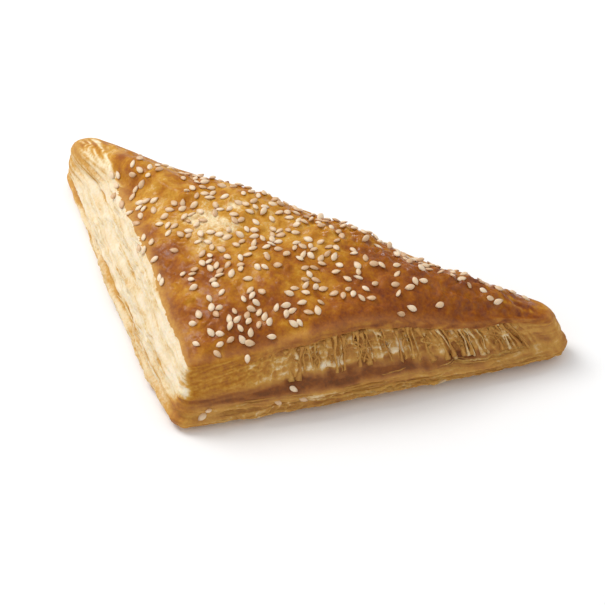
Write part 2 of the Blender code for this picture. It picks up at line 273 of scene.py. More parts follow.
def top_relief(x, y):
    """The ripples and puffed places of the top, in metres."""
    u, v = x / RIPPLE_LENGTH, y / RIPPLE_LENGTH
    rise = RIPPLE * lumps(u, v, 0) + RIPPLE / 2 * lumps(u * FINER, v * FINER, FINER / RIPPLE_LENGTH)
    for u, v, radius, height in PUFFED_PLACES:
        rise += height * np.exp(-((x / MM - u) ** 2 + (y / MM - v) ** 2) / radius**2)
    return rise * MM


def layered(table, x, y):
    """The sum of the table's layers of soft noise."""
    return sum(strength * lumps(x / long, y / wide, key) for strength, long, wide, key in table)


def crackled(x, y):
    """1 where the skin crackled along the fold, 0 on the smooth top. X and Y are in millimetres."""
    eases = zip((x, y), CRACKLE_START, CRACKLE_EASE)
    return math.prod(np.clip((at - start) / ease, 0, 1) for at, start, ease in eases)


def fine_wrinkles(x, y):
    """The small pits, creases, bubbles and crackles of the baked skin."""
    x, y = x / MM, y / MM
    wander = WANDER * lumps(x / 9, y / 9, 30)
    creases = np.clip(1 - 3.5 * np.abs(lumps((x + wander) / 12, (y - wander) / 9, 31)), 0, 1) ** 2
    wrinkles = WRINKLE_HEIGHT * lumps((x + wander) / 7, (y - wander) / 6, 35) - CREASE_DEPTH * creases
    bubbles = np.maximum(0, lumps(x / 3.2, y / 3.2, 34) - 0.28) * 1.7
    crackles = crackled(x, y) * layered(CRACKLES, x, y)
    return (wrinkles + layered(PITS, x, y) + bubbles + crackles) * MM


def top_surface(place, share):
    """Points of the top, each a share of the way from the shoulder to the middle."""
    place, share = np.broadcast_arrays(np.asarray(place, float), np.asarray(share, float))
    point, _ = edge_at(place)
    height = around(SHOULDER_HEIGHTS, place) * MM
    start = around(WALL_LEANS, place) * MM + SHOULDER_EASE
    depth = start + (INRADIUS - start) * share
    spot = point + (np.array(CENTRE) - point) * (depth / INRADIUS)[..., None]
    x, y = spot[..., 0], spot[..., 1]
    arch = share * (INRADIUS - start) / depth
    for i, low in enumerate(CORNERS):
        way = (CORNERS[(i + 1) % SIDES] - low).normalized()
        arch = arch * np.maximum(0, way.x * (y - low.y) - way.y * (x - low.x)) / INRADIUS
    arch = (1 - np.exp(-DOME_SPREAD * arch)) / (1 - math.exp(-DOME_SPREAD))
    shoulder = MEAN_SHOULDER + (height - MEAN_SHOULDER) * (1 - share) ** 1.5
    rise = top_relief(x, y) * np.minimum(1, share * 5) + fine_wrinkles(x, y) * np.minimum(1, share * 12)
    rise = rise - around(RIM_DROPS, place) * np.exp(-((share / 0.1) ** 2)) * MM
    return np.stack((x, y, shoulder + (CENTRE_HEIGHT - shoulder) * arch + rise), -1)


# The crust: one closed skin over walls, fold, top and flat underside. Its bake runs from 0, pale dough, to
# 1, dark brown, and in places also carries painted shade and painted glints; its glaze runs from 0, dry, to
# 1, brushed with egg, and beyond 1 where the fold crackled.
WALL_LEVELS = 74
FINE_STEPS = ((30, 280), (26, 320), (30, 180))  # columns in each corner and along the side after it
TOP_SPACING = 0.5 * MM
RING_SHARE = 0.78  # how much of the triangle's inner radius the rings of the top have to cover
LEAF_HEIGHT = 0.52
FINE_LEAF_HEIGHT = 0.24
POCKET_DEPTH = 0.22
SLIT_DEPTH = 1.5
SLIT_LEVEL = 0.17
SLIT_WIDTH = 0.022
SLIT_PLACES = ((1.25, 0.0), (1.4, 1.0), (1.7, 1.0), (1.82, 0.0))
WEB_WALL = 0.17  # how thick a wall of a web is, as a share of its hollows
STRAND_HOLLOWS = (3.1 * MM, 15 * MM, 0.3)  # width, height, key
LOW_HOLLOWS = (3.4 * MM, 1.7 * MM, 3.3)
HIGH_HOLLOWS = (3.2 * MM, 2.6 * MM, 3.3)
LACE_HEIGHT = 0.5 * MM
LOW_LACE_LEVELS = ((0.03, 0.4), (0.08, 1), (0.19, 1), (0.26, 0))
HIGH_LACE_LEVELS = ((0.46, 0), (0.6, 1), (0.86, 1), (0.97, 0))
HIGH_LACE_PLACES = ((1.06, 0), (1.2, 1), (1.55, 1), (1.72, 0))
SKIN_PLACES = ((0.98, 0), (1.02, 1), (1.14, 1), (1.34, 0))  # the smooth skin beside the front corner
SKIN_LEVELS = ((0.36, 0), (0.6, 1))
FOLD_ROUGHNESS = 0.12 * MM
LEFT_TIP = ((0, 1.0), (0.14, 0.0), (2.86, 0.0), (3.0, 1.0))
FRONT_CORNER = ((0.9, 0.0), (0.985, 1.0), (1.02, 1.0), (1.1, 0.0))
RIGHT_TIP = ((1.88, 0.0), (1.98, 1.0), (2.04, 1.0), (2.12, 0.0))
LEFT_BAKE = 0.02
LEFT_LIMIT = 0.6
LEFT_FOOT_BAKE = ((0, 0.26), (0.1, 0.12), (0.3, 0))
LOW_LAYER_LEVELS = ((0.14, 0), (0.22, 1), (0.34, 0))
CORNER_BAKE = ((0.1, 0.46), (0.42, 0.42), (0.62, 0.0))
RIM_LEVEL = 0.965
RIM_BAKE = 0.48
FRONT_BAKE = 0.5
FRONT_LIMIT = 0.84
FRONT_COLOUR_PLACES = ((0.97, 0), (1.03, 1), (2.06, 1), (2.14, 0))
RIDGE_LEVELS = ((0.28, 0), (0.4, 1), (0.52, 0))  # the brown ridge under the torn gap
RIDGE_PLACES = ((1.0, 0.3), (1.2, 1.0), (1.7, 0.8), (1.86, 0.0))
LIP_LEVELS = ((0.8, 0), (0.93, 1))  # the brown lip over the torn gap
FOLD_BAKE = 0.52
FOLD_MOTTLE = ((0.2, 15, 9, 62), (0.22, 6, 4, 63))
FOLD_FOOT_PALE = ((0, 0.2), (0.3, 0))
TOP_BAKE = 0.585
TOP_MOTTLE = ((0.18, 15, 15, 70), (0.24, 7, 6, 71), (0.16, 2.6, 2.6, 72))
MOTTLE_LIMIT = 0.2
BROWN = 0.56  # the top's bake rises slowly beyond this
BROWN_LIMIT = 0.23
# The flecks are painted glints on the crackled skin along the fold.
GLINT_SHIFT = 9  # how much nearer the fold the flecks begin than the crackles, in millimetres
PALE_TIP = 13.6  # how far in, in millimetres, the pale cut wall rolls over the left tip
BAKED_PLACES = (  # centre X and Y, radius, in millimetres, and how much more or less baked
    (-22, 6, 6, -0.05),
    (-16, 12, 12, -0.15),
    (-12, 15, 17, -0.1),
    (-26, -5, 5, 0.2),
    (-10, -24, 8, 0.02),
    (-8, -7, 5, 0.24),
    (7, -18, 9, 0.18),
    (8, 17, 9, -0.12),
    (26, 12, 7, -0.08),
    # Next entry: partly real browning, partly painted shade where the top slopes down away from the lamp.
    (40, 15, 15, 0.26),
    (66, 27, 14, 0.2),
    (-42, 22, 17, -0.16),
    (-8, 21, 8, -0.14),
    (-72, 34, 12, -0.12),
)


def smooth_skin(place, level):
    """How much smooth skin lies over the layers, from 0 to 1."""
    return along(SKIN_PLACES, place) * along(SKIN_LEVELS, level)


def wall_leaves(place, level, run, rise):
    """Fine layers of the cut dough: how far they stand out, and how much each is a crest."""
    run, rise = run / MM, rise / MM
    wandered = rise + 1.4 * lumps(run / 26, rise / 8, 50)
    crest = np.clip(1 - np.abs(lumps(run / 21, wandered / 1.8, 51)) * 2.6, 0, 1) ** 1.5
    fine = FINE_LEAF_HEIGHT * lumps(run / 8, wandered / 0.9, 52)
    pockets = POCKET_DEPTH * lumps(run / 6, rise / 3, 53)
    slit_level = SLIT_LEVEL + 0.03 * lumps(run / 14, 0, 57)
    slit = SLIT_DEPTH * along(SLIT_PLACES, place) * np.exp(-(((level - slit_level) / SLIT_WIDTH) ** 2))
    return (LEAF_HEIGHT * crest + fine + pockets - slit) * MM, crest


def web(run, rise, width, height, key):
    """1 on the thin walls of dough between the hollows of a web, 0 in the hollows."""
    slant = width / 2 * lumps(run / width / 3.5, rise / height, key)
    found = []
    for u, v in zip((run + slant).ravel() / width, rise.ravel() / height):
        (first, second, *_), _ = noise.voronoi((u, v, key))
        found.append(math.exp(-(((second - first) / WEB_WALL) ** 2)))
    return np.array(found).reshape(run.shape)


def wall_webs(place, level, run, rise):
    """The strands across the torn gap, and the lace of thin dough above and below it."""
    strands, lace = np.zeros_like(place), np.zeros_like(place)
    there = torn_share(place, level) > 0.01
    strands[there] = web(run[there], rise[there], *STRAND_HOLLOWS)
    low = along(LOW_LACE_LEVELS, level) * np.minimum(1, around(FRONT_SIDE, place) * 2)
    high = along(HIGH_LACE_LEVELS, level) * along(HIGH_LACE_PLACES, place)
    for share, hollows in ((low, LOW_HOLLOWS), (high, HIGH_HOLLOWS)):
        there = share > 0.01
        lace[there] += share[there] * web(run[there], rise[there], *hollows)
    return strands, lace


def crust_columns():
    """The place of each column of the walls, and its distance round the edge."""
    found = []
    for i, (corner_steps, side_steps) in enumerate(FINE_STEPS):
        found += [i + CORNER_REACH * (2 * step / corner_steps - 1) for step in range(corner_steps)]
        start, length = i + CORNER_REACH, 1 - 2 * CORNER_REACH
        found += [start + length * step / side_steps for step in range(side_steps)]
    place = np.array(found)
    rim, _ = edge_at(place)
    return place, np.concatenate(((0,), np.cumsum(np.linalg.norm(np.diff(rim, axis=0), axis=1))))


def layer_streaks(run, rise):
    """Broad drifts of darker dough, and thin streaks that follow its layers."""
    drift = lumps(run / 17, rise / 5, 55)
    return drift, lumps(run / 20, (rise + 1.5 * drift) / 1.3, 56)


def left_bake_and_shading(place, level, run, rise, crest):
    """The pale left wall: darker in streaks, at its foot, at the tip and corner, and along its rim, with
    painted shade between the crests of its layers.
    """
    drift, streak = layer_streaks(run, rise)
    tip = along(LEFT_TIP, place % SIDES)
    # The 0.06 darkening off the crests is painted shade in the troughs between the layers.
    bake = LEFT_BAKE + 0.22 * np.maximum(0, drift) + 0.36 * np.maximum(0, streak) + 0.06 * (1 - crest)
    bake += along(LEFT_FOOT_BAKE, level)
    bake += 0.1 * along(((0.7, 0), (0.85, 1), (1.1, 1)), place) * along(((0.3, 1), (0.6, 0)), level)
    bake += 0.24 * along(LOW_LAYER_LEVELS, level) * np.clip(0.5 + 2 * drift, 0, 1)
    bake += 0.24 * tip + along(FRONT_CORNER, place) * along(CORNER_BAKE, level)
    browned_rim = (level + 0.025 * lumps(run / 2.5, 0, 58) > RIM_LEVEL) & (tip < 0.01)
    return np.where(browned_rim, np.maximum(bake, RIM_BAKE), np.minimum(bake, LEFT_LIMIT))


def front_bake_and_shading(place, level, run, rise, crest, hollow, webbed):
    """The brown front wall: streaked along its layers, darkest on the ridge and lip, pale on its webs, with
    painted shade in its hollows.
    """
    drift, streak = layer_streaks(run, rise)
    skin = smooth_skin(place, level)
    fibres = lumps((run + 1.2 * rise) / 7, (rise - 0.25 * run) / 0.8, 59)
    layers = 0.16 * streak + 0.2 * along(LIP_LEVELS, level) - 0.1 * crest
    bake = FRONT_BAKE + 0.12 * drift + layers * (1 - skin) + (0.03 + 0.17 * fibres) * skin
    # The 0.09 rise with hollow is painted shade: the deeper the recess, the darker its colour.
    bake += 0.5 * along(RIDGE_LEVELS, level) * along(RIDGE_PLACES, place) + 0.09 * hollow - webbed
    bake += 0.46 * (along(RIGHT_TIP, place) + 0.3 * along(TORN, place)) * lumps(run / 3, rise / 4, 61)
    return np.minimum(bake, FRONT_LIMIT)


def crust_walls(place, run):
    """Points, bake and glaze of the walls and the fold, in rows from the base up; the bake holds painted
    shade in places.
    """
    level, place, run = np.broadcast_arrays(np.linspace(0, 1, WALL_LEVELS)[:, None], place, run)
    cut, torn, skin = around(CUT_SHARE, place), torn_share(place, level), smooth_skin(place, level)
    rise = level * around(SHOULDER_HEIGHTS, place) * MM
    ends = np.clip(np.minimum(level, 1 - level) * 14, 0, 1)
    leaf, crest = wall_leaves(place, level, run, rise)
    strands, lace = wall_webs(place, level, run, rise)
    proud = wall_relief(place, level) * (1 - 0.7 * skin)
    proud = proud + leaf * cut * (1 - 0.6 * torn) * (1 - 0.6 * skin) * (1 - 0.5 * (lace > 0)) * ends
    proud = proud + strands * torn * np.maximum(0, -0.5 * MM - proud) * 0.55 + LACE_HEIGHT * lace
    fold_relief = (1 - cut) * FOLD_ROUGHNESS * lumps(run / (3 * MM), rise / (3 * MM), 54)
    points = wall_surface(place, level, proud + fold_relief)

    run, rise = run / MM, rise / MM
    # hollow is how deep the wall sinks below its bare plane; it darkens the front wall's colour as painted
    # shade.
    hollow, webbed = np.clip((-0.4 - proud / MM) / 2.2, 0, 1), 0.14 * strands * torn + 0.09 * lace
    left = left_bake_and_shading(place, level, run, rise, crest)
    front = front_bake_and_shading(place, level, run, rise, crest, hollow, webbed)
    fold = FOLD_BAKE + 0.05 * level + layered(FOLD_MOTTLE, run, rise) - along(FOLD_FOOT_PALE, level)
    bulge = 0.035 * np.exp(-(((level - 0.52) / 0.16) ** 2))
    side = along(FRONT_COLOUR_PLACES, place - bulge)
    bake = (front * side + left * (1 - side)) * cut + fold * (1 - cut)
    lip = along(((0.8, 0), (0.92, 1)), level) * around(FRONT_SIDE, place)
    corner = along(FRONT_CORNER, place) * (level < 0.6)
    glaze = 0.6 * (1 - cut) + 0.5 * corner + np.maximum(0.5 * lip, 0.8 * skin)
    return points, bake, glaze


def top_bake_and_shading(x, y, share, place):
    """The mottled top: darker at its rim and in places, with painted shade along the front rim and on one
    patch, flecked at the crest with painted glints, streaked at the left tip.
    """
    x, y = x / MM, y / MM
    bake = TOP_BAKE + MOTTLE_LIMIT * np.tanh(layered(TOP_MOTTLE, x, y) / MOTTLE_LIMIT)
    for u, v, radius, more in BAKED_PLACES:
        bake += more * np.exp(-((x - u) ** 2 + (y - v) ** 2) / radius**2)
    # Browner at the rim: 0.02 all round as browning, and 0.08 more along the front as painted shade where
    # the rim rolls down away from the lamp.
    bake += (0.02 + 0.08 * around(FRONT_SIDE, place)) * np.exp(-((share / 0.14) ** 2))
    bake = np.where(bake > BROWN, BROWN + BROWN_LIMIT * np.tanh((bake - BROWN) / BROWN_LIMIT), bake)
    # Pale flecks along the crackled crest are painted glints, with darker specks between them.
    glint_flecks = lumps(x / 2.4, y / 1.3, 75)
    bake -= crackled(x, y - GLINT_SHIFT) * np.where(glint_flecks > 0, 0.5 * glint_flecks, 0.2 * glint_flecks)
    low, way = CORNERS[0] / MM, (CORNERS[1] - CORNERS[0]).normalized()
    run, inside = (x - low.x) * way.x + (y - low.y) * way.y, way.x * (y - low.y) - way.y * (x - low.x)
    rolled = np.clip(PALE_TIP - 0.08 * run - inside + 1.2 * lumps(run / 3, inside / 3, 73), 0, 1)
    streaked = 0.12 + 0.8 * np.abs(lumps(run / 16, inside / 1.6, 74)) + along(((2, 0.2), (12, 0)), run)
    return bake + (streaked - bake) * rolled


def top_places():
    """Place and share of each point of the top inside its shoulder."""
    rings = round(INRADIUS * RING_SHARE / TOP_SPACING)
    for step in range(1, rings):
        share = step / (rings + 0.5)
        for i, length in enumerate(side_lengths):
            steps = max(2, round(length * (1 - share) / TOP_SPACING))
            for k in range(steps):
                yield i + (k + 0.5 * (step % 2)) / steps, share


def crust_mesh():
    place, run = crust_columns()
    count = len(place)
    feet = np.concatenate((ARCS[:, :2], np.zeros((SIDES, 1))), 1)
    walls, wall_bake_and_shading, wall_glaze = crust_walls(place, run)
    shoulder = top_surface(place, np.zeros(count))
    inner_place, inner_share = np.array(list(top_places())).T
    inner = top_surface(inner_place, inner_share)
    points = np.concatenate((feet, walls.reshape(-1, 3), shoulder, inner))

    rows = [np.arange(count) + SIDES + i * count for i in range(WALL_LEVELS + 1)]
    nearest = np.rint(place).astype(int) % SIDES
    beside, next_nearest = np.roll(rows[0], -1), np.roll(nearest, -1)
    turns = nearest != next_nearest
    faces = [(2, 1, 0)] + np.stack((beside, rows[0], nearest), 1).tolist()
    faces += np.stack((beside, nearest, next_nearest), 1)[turns].tolist()
    for low, high in zip(rows, rows[1:]):
        faces += np.stack((low, np.roll(low, -1), np.roll(high, -1), high), 1).tolist()
    first = int(rows[-1][0])
    spots = [Vector(point[:2]) for point in points[first:].tolist()]
    ring = [(i, (i + 1) % count) for i in range(count)]
    _, _, top, sources, _, _ = geometry.delaunay_2d_cdt(spots, ring, [], 1, 1e-8)
    faces += [[first + sources[i][0] for i in face] for face in top]

    top_points = points[first:]
    top_place = np.concatenate((place, inner_place))
    top_share = np.concatenate((np.zeros(count), inner_share))
    baked_and_shaded_top = top_bake_and_shading(top_points[:, 0], top_points[:, 1], top_share, top_place)
    bake = np.concatenate((np.full(SIDES, 0.35), wall_bake_and_shading.ravel(), baked_and_shaded_top))
    top_glaze = np.minimum(1, 0.4 + top_share * 8)
    top_glaze += 1.4 * crackled(top_points[:, 0] / MM, top_points[:, 1] / MM)
    glaze = np.concatenate((np.zeros(SIDES), wall_glaze.ravel(), top_glaze))
    return dough_mesh("crust", points, faces, bake, glaze)


def dough_mesh(name, points, faces, bake, glaze):
    """A mesh whose points carry how baked and how glazed they are; the bake holds painted shade and glints
    in places.
    """
    mesh = bpy.data.meshes.new(name)
    mesh.from_pydata((points + np.array(HOME)).tolist(), [], faces)
    for label, values in (("bake", bake), ("glaze", glaze)):
        mesh.attributes.new(label, "FLOAT", "POINT").data.foreach_set("value", np.asarray(values, float))
    mesh.shade_smooth()
    return mesh


class Shade:
    """A value, vector or colour in a material. Arithmetic on values adds Math nodes."""

    def __init__(self, tree, socket=None):
        self.tree = tree
        self.socket = socket

    def node(self, kind, settings, sockets, output=0):
        """The output of a new node, with its settings made first and then its sockets filled."""
        made = self.tree.nodes.new("ShaderNode" + kind)
        for name, value in settings.items():
            if name == "stops":
                stops = made.color_ramp.elements
                stops.remove(stops[1])
                (stops[0].position, colour), *others = value
                stops[0].color = (*colour, 1)
                for place, colour in others:
                    stops.new(place).color = (*colour, 1)
            else:
                setattr(made, name, value)
        for name, value in sockets.items():
            if isinstance(value, Shade):
                self.tree.links.new(value.socket, made.inputs[name])
            else:
                made.inputs[name].default_value = value
        return Shade(self.tree, made.outputs[output])

    def math(self, operation, *values):
        return self.node("Math", {"operation": operation}, dict(enumerate(values)))

    def __add__(self, other):
        return self.math("ADD", self, other)

    def __sub__(self, other):
        return self.math("SUBTRACT", self, other)

    def __rsub__(self, other):
        return self.math("SUBTRACT", other, self)

    def __mul__(self, other):
        return self.math("MULTIPLY", self, other)

    __radd__, __rmul__ = __add__, __mul__

    def mixed(self, share, first, second):
        """The first colour with a share of the second in it."""
        return self.node("Mix", {"data_type": "RGBA"}, {0: share, 6: first, 7: second}, 2)

    def attribute(self, name):
        return self.node("Attribute", {"attribute_name": name}, {}, "Fac")

    def grain(self, vector, size, detail=3.0):
        """Noise from 0 to 1 with lumps about the size across."""
        sockets = {"Vector": vector, "Scale": 1 / size, "Detail": detail, "Roughness": 0.6}
        return self.node("TexNoise", {}, sockets)


def linear(*channels):
    """A colour given as it looks on screen, from 0 to 255, in the values that shaders take."""
    shares = [channel / 255 for channel in channels]
    return tuple(c / 12.92 if c <= 0.04045 else ((c + 0.055) / 1.055) ** 2.4 for c in shares)


BAKE_COLOURS = (
    (0.0, linear(244, 235, 213)),
    (0.18, linear(234, 214, 172)),
    (0.36, linear(199, 146, 54)),
    (0.52, linear(176, 114, 24)),
    (0.68, linear(151, 84, 18)),
    (0.84, linear(118, 56, 18)),
    (1.0, linear(72, 36, 20)),
)
FLOUR_COLOUR = linear(205, 168, 120)


def baked_dough():
    material = bpy.data.materials.new("baked dough")
    material.use_nodes = True
    shade = Shade(material.node_tree)
    shader = material.node_tree.nodes["Principled BSDF"]
    where = shade.node("TexCoord", {}, {}, "Object")
    # The bake attribute also carries painted shade and painted glints, which the ramp turns into colour.
    bake, glaze = shade.attribute("bake"), shade.attribute("glaze")
    mottle = (shade.grain(where, 3 * MM) + shade.grain(where, 0.9 * MM) - 1) * 0.34
    baked_and_shaded = shade.node("ValToRGB", {"stops": BAKE_COLOURS}, {0: bake + mottle})
    dusted = (1 - glaze) * shade.math("MINIMUM", 0.28, (1 - bake) * 0.7)
    colour = shade.mixed(dusted, baked_and_shaded, (*FLOUR_COLOUR, 1))
    rough = 0.68 - glaze * 0.2 + (shade.grain(where, 2 * MM) - 0.5) * 0.24
    height = shade.grain(where, 0.5 * MM, 4.0) * (1 - glaze * 0.75) + shade.grain(where, 1.6 * MM) * 0.85
    bump = shade.node("Bump", {}, {"Height": height, "Strength": 0.55, "Distance": 0.25 * MM})
    links = material.node_tree.links
    links.new(colour.socket, shader.inputs["Base Color"])
    links.new(rough.socket, shader.inputs["Roughness"])
    links.new((glaze * (shade.grain(where, 1.5 * MM) - 0.38)).socket, shader.inputs["Coat Weight"])
    links.new(bump.socket, shader.inputs["Normal"])
    shader.inputs["Coat Roughness"].default_value = 0.14
    shader.inputs["Specular IOR Level"].default_value = 0.1
    shader.inputs["Subsurface Weight"].default_value = 0.12
    shader.inputs["Subsurface Radius"].default_value = (1.0, 0.5, 0.2)
    shader.inputs["Subsurface Scale"].default_value = 1.5 * MM
    return material


def placed(mesh, material):
    """Puts a piece of the pastry in the scene in place of the plain solid."""
    piece = bpy.data.objects.new(mesh.name, mesh)
    mesh.materials.append(material)
    bpy.context.scene.collection.objects.link(piece)
    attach(piece, "root")
    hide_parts("boreka")
    return piece


dough = baked_dough()
crust = placed(crust_mesh(), dough)


# The loose leaves: thin layers of dough that split off the cut edges while it puffed, ragged and dry. Each
# is a thin solid with its root in the wall and its edge standing out.
LEAF_DRAW = 21
LEFT_LEAVES = 120
FRONT_LEAVES = 80
LONG_LEAVES = (  # place, level, length and reach in millimetres, bake
    (1.62, 0.37, 40, 1.2, 0.36),
    (1.32, 0.2, 40, 1.3, 0.4),
    (1.38, 0.14, 46, 1.6, 0.38),
)
LEAF_STEP = 0.45 * MM
LEAF_THICKNESS = 0.16 * MM
LEAF_ROOT = 0.5 * MM  # how deep in the wall a leaf starts


def leaf(root, edge, thickness):
    """Rings of four points that make one thin leaf between two lines of points."""
    side = np.cross(np.gradient(root, axis=0), edge - root)
    side *= (thickness / 2 / np.maximum(np.linalg.norm(side, axis=1), 1e-9))[:, None]
    return np.stack((root - side, edge - side * 0.5, edge + side * 0.5, root + side), 1)


def rings_mesh(name, solids):
    """One mesh of many closed solids, each of (rings, bake)."""
    points, faces, bake, count = [], [], [], 0
    for rings, tone in solids:
        steps, sides, _ = rings.shape
        points.append(rings.reshape(-1, 3))
        bake.append(np.broadcast_to(tone, (steps, sides)).ravel())
        at = np.arange(steps * sides).reshape(steps, sides) + count
        low, high = at[:-1], at[1:]
        quads = np.stack((low, np.roll(low, -1, 1), np.roll(high, -1, 1), high), -1)
        faces += quads.reshape(-1, 4).tolist() + [at[0][::-1].tolist(), at[-1].tolist()]
        count += steps * sides
    points = np.concatenate(points)
    return dough_mesh(name, points, faces, np.concatenate(bake), np.zeros(len(points)))


def wall_leaf(draw, place, level, length, reach, tone):
    """One ragged leaf that runs along a wall."""
    span = length / side_lengths[int(place)]
    steps = max(8, round(length / LEAF_STEP))
    t = np.linspace(0, 1, steps)
    run = t * length / MM
    key = draw.uniform(0, 99)
    places = place + span * t
    levels = level + 0.03 * lumps(run / 9, key, 0) + draw.uniform(-0.02, 0.02) * t
    ragged = 0.75 + 0.5 * lumps(run / 3, key, 1) + 0.35 * lumps(run / 0.9, key, 2)
    ragged = np.clip(ragged, 0.1, 1.4) * np.minimum(1, 5 * np.minimum(t, 1 - t)) ** 0.6
    base = wall_relief(places, levels)
    root = wall_surface(places, levels, base - LEAF_ROOT)
    edge = wall_surface(places, levels, base + reach * ragged)
    edge[:, 2] += draw.uniform(-0.5, 0.6) * reach * ragged
    return leaf(root, edge, LEAF_THICKNESS), tone + 0.08 * lumps(run / 4, key, 3)[:, None]


def loose_leaves():
    """Every leaf: many pale ones on the left wall, browner ones low on the front, and the long ones."""
    draw = random.Random(LEAF_DRAW)
    for _ in range(LEFT_LEAVES):
        level, place = draw.uniform(0.03, 0.97), draw.uniform(0.04, 0.72)
        tone = draw.uniform(0.0, 0.2) + 0.2 * max(0, 0.25 - level) / 0.25
        yield wall_leaf(draw, place, level, draw.uniform(8, 28) * MM, draw.uniform(0.3, 0.9) * MM, tone)
    for _ in range(FRONT_LEAVES):
        level, place = draw.uniform(0.02, 0.38), draw.uniform(1.06, 1.84)
        tone = draw.uniform(0.38, 0.58)
        yield wall_leaf(draw, place, level, draw.uniform(5, 20) * MM, draw.uniform(0.4, 1.0) * MM, tone)
    for place, level, length, reach, tone in LONG_LEAVES:
        yield wall_leaf(draw, place, level, length * MM, reach * MM, tone)


leaves = placed(rings_mesh("leaves", loose_leaves()), dough)


# The torn dough: where the front edge burst open, thin curtains and threads of stretched dough still run
# from the ridge up to the lip, pale along their edges.
CURTAINS = 26
CURTAINS_START = 1.2
CURTAINS_SPAN = 0.71
PALE_CURTAINS = (1.705, 1.74, 1.755, 1.775, 1.79, 1.845)
PALE_TONE = 0.28
THREADS = 26
THREAD_SIDES = 5
TORN_STEPS = 12
TORN_DRAW = 5


def curtain(draw, place, tone):
    """A thin upright wall of dough across the gap, thicker at both ends, with its edge hollowed."""
    t = np.linspace(0, 1, TORN_STEPS)
    key = draw.uniform(0, 99)
    low, high = draw.uniform(0.38, 0.46), draw.uniform(0.86, 0.94)
    places = place + draw.uniform(-0.016, 0.016) * t + 0.006 * lumps(t * 3, key, 5)
    levels = low + (high - low) * t
    floor = np.minimum(wall_relief(places, levels), -0.5 * MM) - 0.6 * MM
    hollow = draw.uniform(0.3, 1.3) * np.sin(np.pi * t) + 0.25 * lumps(t * 6, key, 6)
    root = wall_surface(places, levels, floor)
    edge = wall_surface(places, levels, (-0.35 - hollow) * MM)
    thickness = draw.uniform(0.3, 0.9) * MM * (1 + 2.5 * np.abs(2 * t - 1) ** 3)
    return leaf(root, edge, thickness), tone + 0.1 * np.array((1, 0, 0, 1))


def thread(path, radius, tone):
    """A closed thread along a line of points."""
    way = np.gradient(path, axis=0)
    way /= np.linalg.norm(way, axis=1)[:, None]
    side = np.cross(way, (0.3, 0.5, 0.81))
    side /= np.linalg.norm(side, axis=1)[:, None]
    other = np.cross(way, side)
    turned = np.arange(THREAD_SIDES) * math.tau / THREAD_SIDES
    ring = side[:, None] * np.cos(turned)[:, None] + other[:, None] * np.sin(turned)[:, None]
    return path[:, None] + ring * np.broadcast_to(radius, len(path))[:, None, None], tone


def torn_thread(draw):
    """A stretched thread that leaves the lip, thins and runs down or aslant to the ridge."""
    t = np.linspace(0, 1, TORN_STEPS)
    end = np.minimum(t, 1 - t)
    key = draw.uniform(0, 99)
    place = draw.uniform(1.14, 1.9)
    top, bottom = draw.uniform(0.72, 0.93), draw.uniform(0.4, 0.66)
    places = place + draw.uniform(-0.025, 0.025) * t + 0.022 * lumps(t * 2.2, key, 7)
    levels = top + (bottom - top) * t
    hung = draw.uniform(-1.6, -0.2) + 0.4 * lumps(t * 3, key, 8)
    proud = hung * np.minimum(1, 4 * end + 0.6) - 0.5 * (end < 0.05)
    path = wall_surface(places, levels, proud * MM)
    radius = draw.uniform(0.14, 0.24) * MM * (0.8 + 1.4 * np.abs(2 * t - 1) ** 3)
    return thread(path, radius, draw.uniform(0.36, 0.52))


def torn_dough():
    draw = random.Random(TORN_DRAW)
    for step in range(CURTAINS):
        place = CURTAINS_START + CURTAINS_SPAN * (step + draw.uniform(0.1, 0.9)) / CURTAINS
        yield curtain(draw, place, draw.uniform(0.38, 0.5))
    for place in PALE_CURTAINS:
        yield curtain(draw, place, PALE_TONE)
    for _ in range(THREADS):
        yield torn_thread(draw)


torn = placed(rings_mesh("torn_dough", torn_dough()), dough)


# The sesame: hulled seeds sprinkled on the egg wash before baking, thick over the middle and thin towards
# the right tip. Each is a flattened drop with a darker point, and is stuck down in the glaze.
SEEDS = 330
CREST_SEEDS = 55
SEED_DRAW = 11
SEED_LENGTH = 3.0 * MM
SEED_WIDTH = 1.85 * MM
SEED_THICKNESS = 1.0 * MM
SEED_GAP = 1.9 * MM
SEED_SUNK = 0.2
SEED_SIDES = 12
SEED_RINGS = 11
SEED_SIZES = (0.88, 1.1)
SEED_WIDTHS = (0.92, 1.08)
SEED_TILTS = (0.16, 0.12)
SEED_CLUMP = 9 * MM
SEED_REACH = 0.83  # how far out seeds lie, as a share of the way from the middle to the edge
CREST_REACH = 0.9
SEEDED_PLACES = (  # centre X and Y, radius, in millimetres, and share
    (-32, 13, 18, 0.8),
    (-5, 20, 22, 0.7),
    (25, 20, 20, 0.5),
    (5, -2, 15, 0.6),
    (14, -15, 13, 0.9),
    (2, -28, 8, 0.4),
    (50, 24, 14, 0.25),
    (-52, 24, 9, 0.5),
)
CREST_PLACES = ((-30, 32, 9, 0.7), (-8, 31, 10, 0.8), (16, 31, 10, 1), (38, 31, 9, 0.8), (58, 33, 8, 0.6))
STRAY_SEEDS = (  # place and level on the front wall
    (1.2, 0.83),
    (1.3, 0.37),
    (1.32, 0.25),
    (1.26, 0.25),
    (1.1, 0.31),
    (1.085, 0.2),
)


def seed_density(x, y, seeded):
    """How thick the seeds lie at a spot, from 0 to about 1."""
    thick = 0
    for u, v, radius, share in seeded:
        thick += share * math.exp(-((x - u * MM) ** 2 + (y - v * MM) ** 2) / (radius * MM) ** 2)
    return min(1.0, thick) * max(0.08, 0.65 + 1.2 * noise.noise(Vector((x, y, 7 * MM)) / SEED_CLUMP))


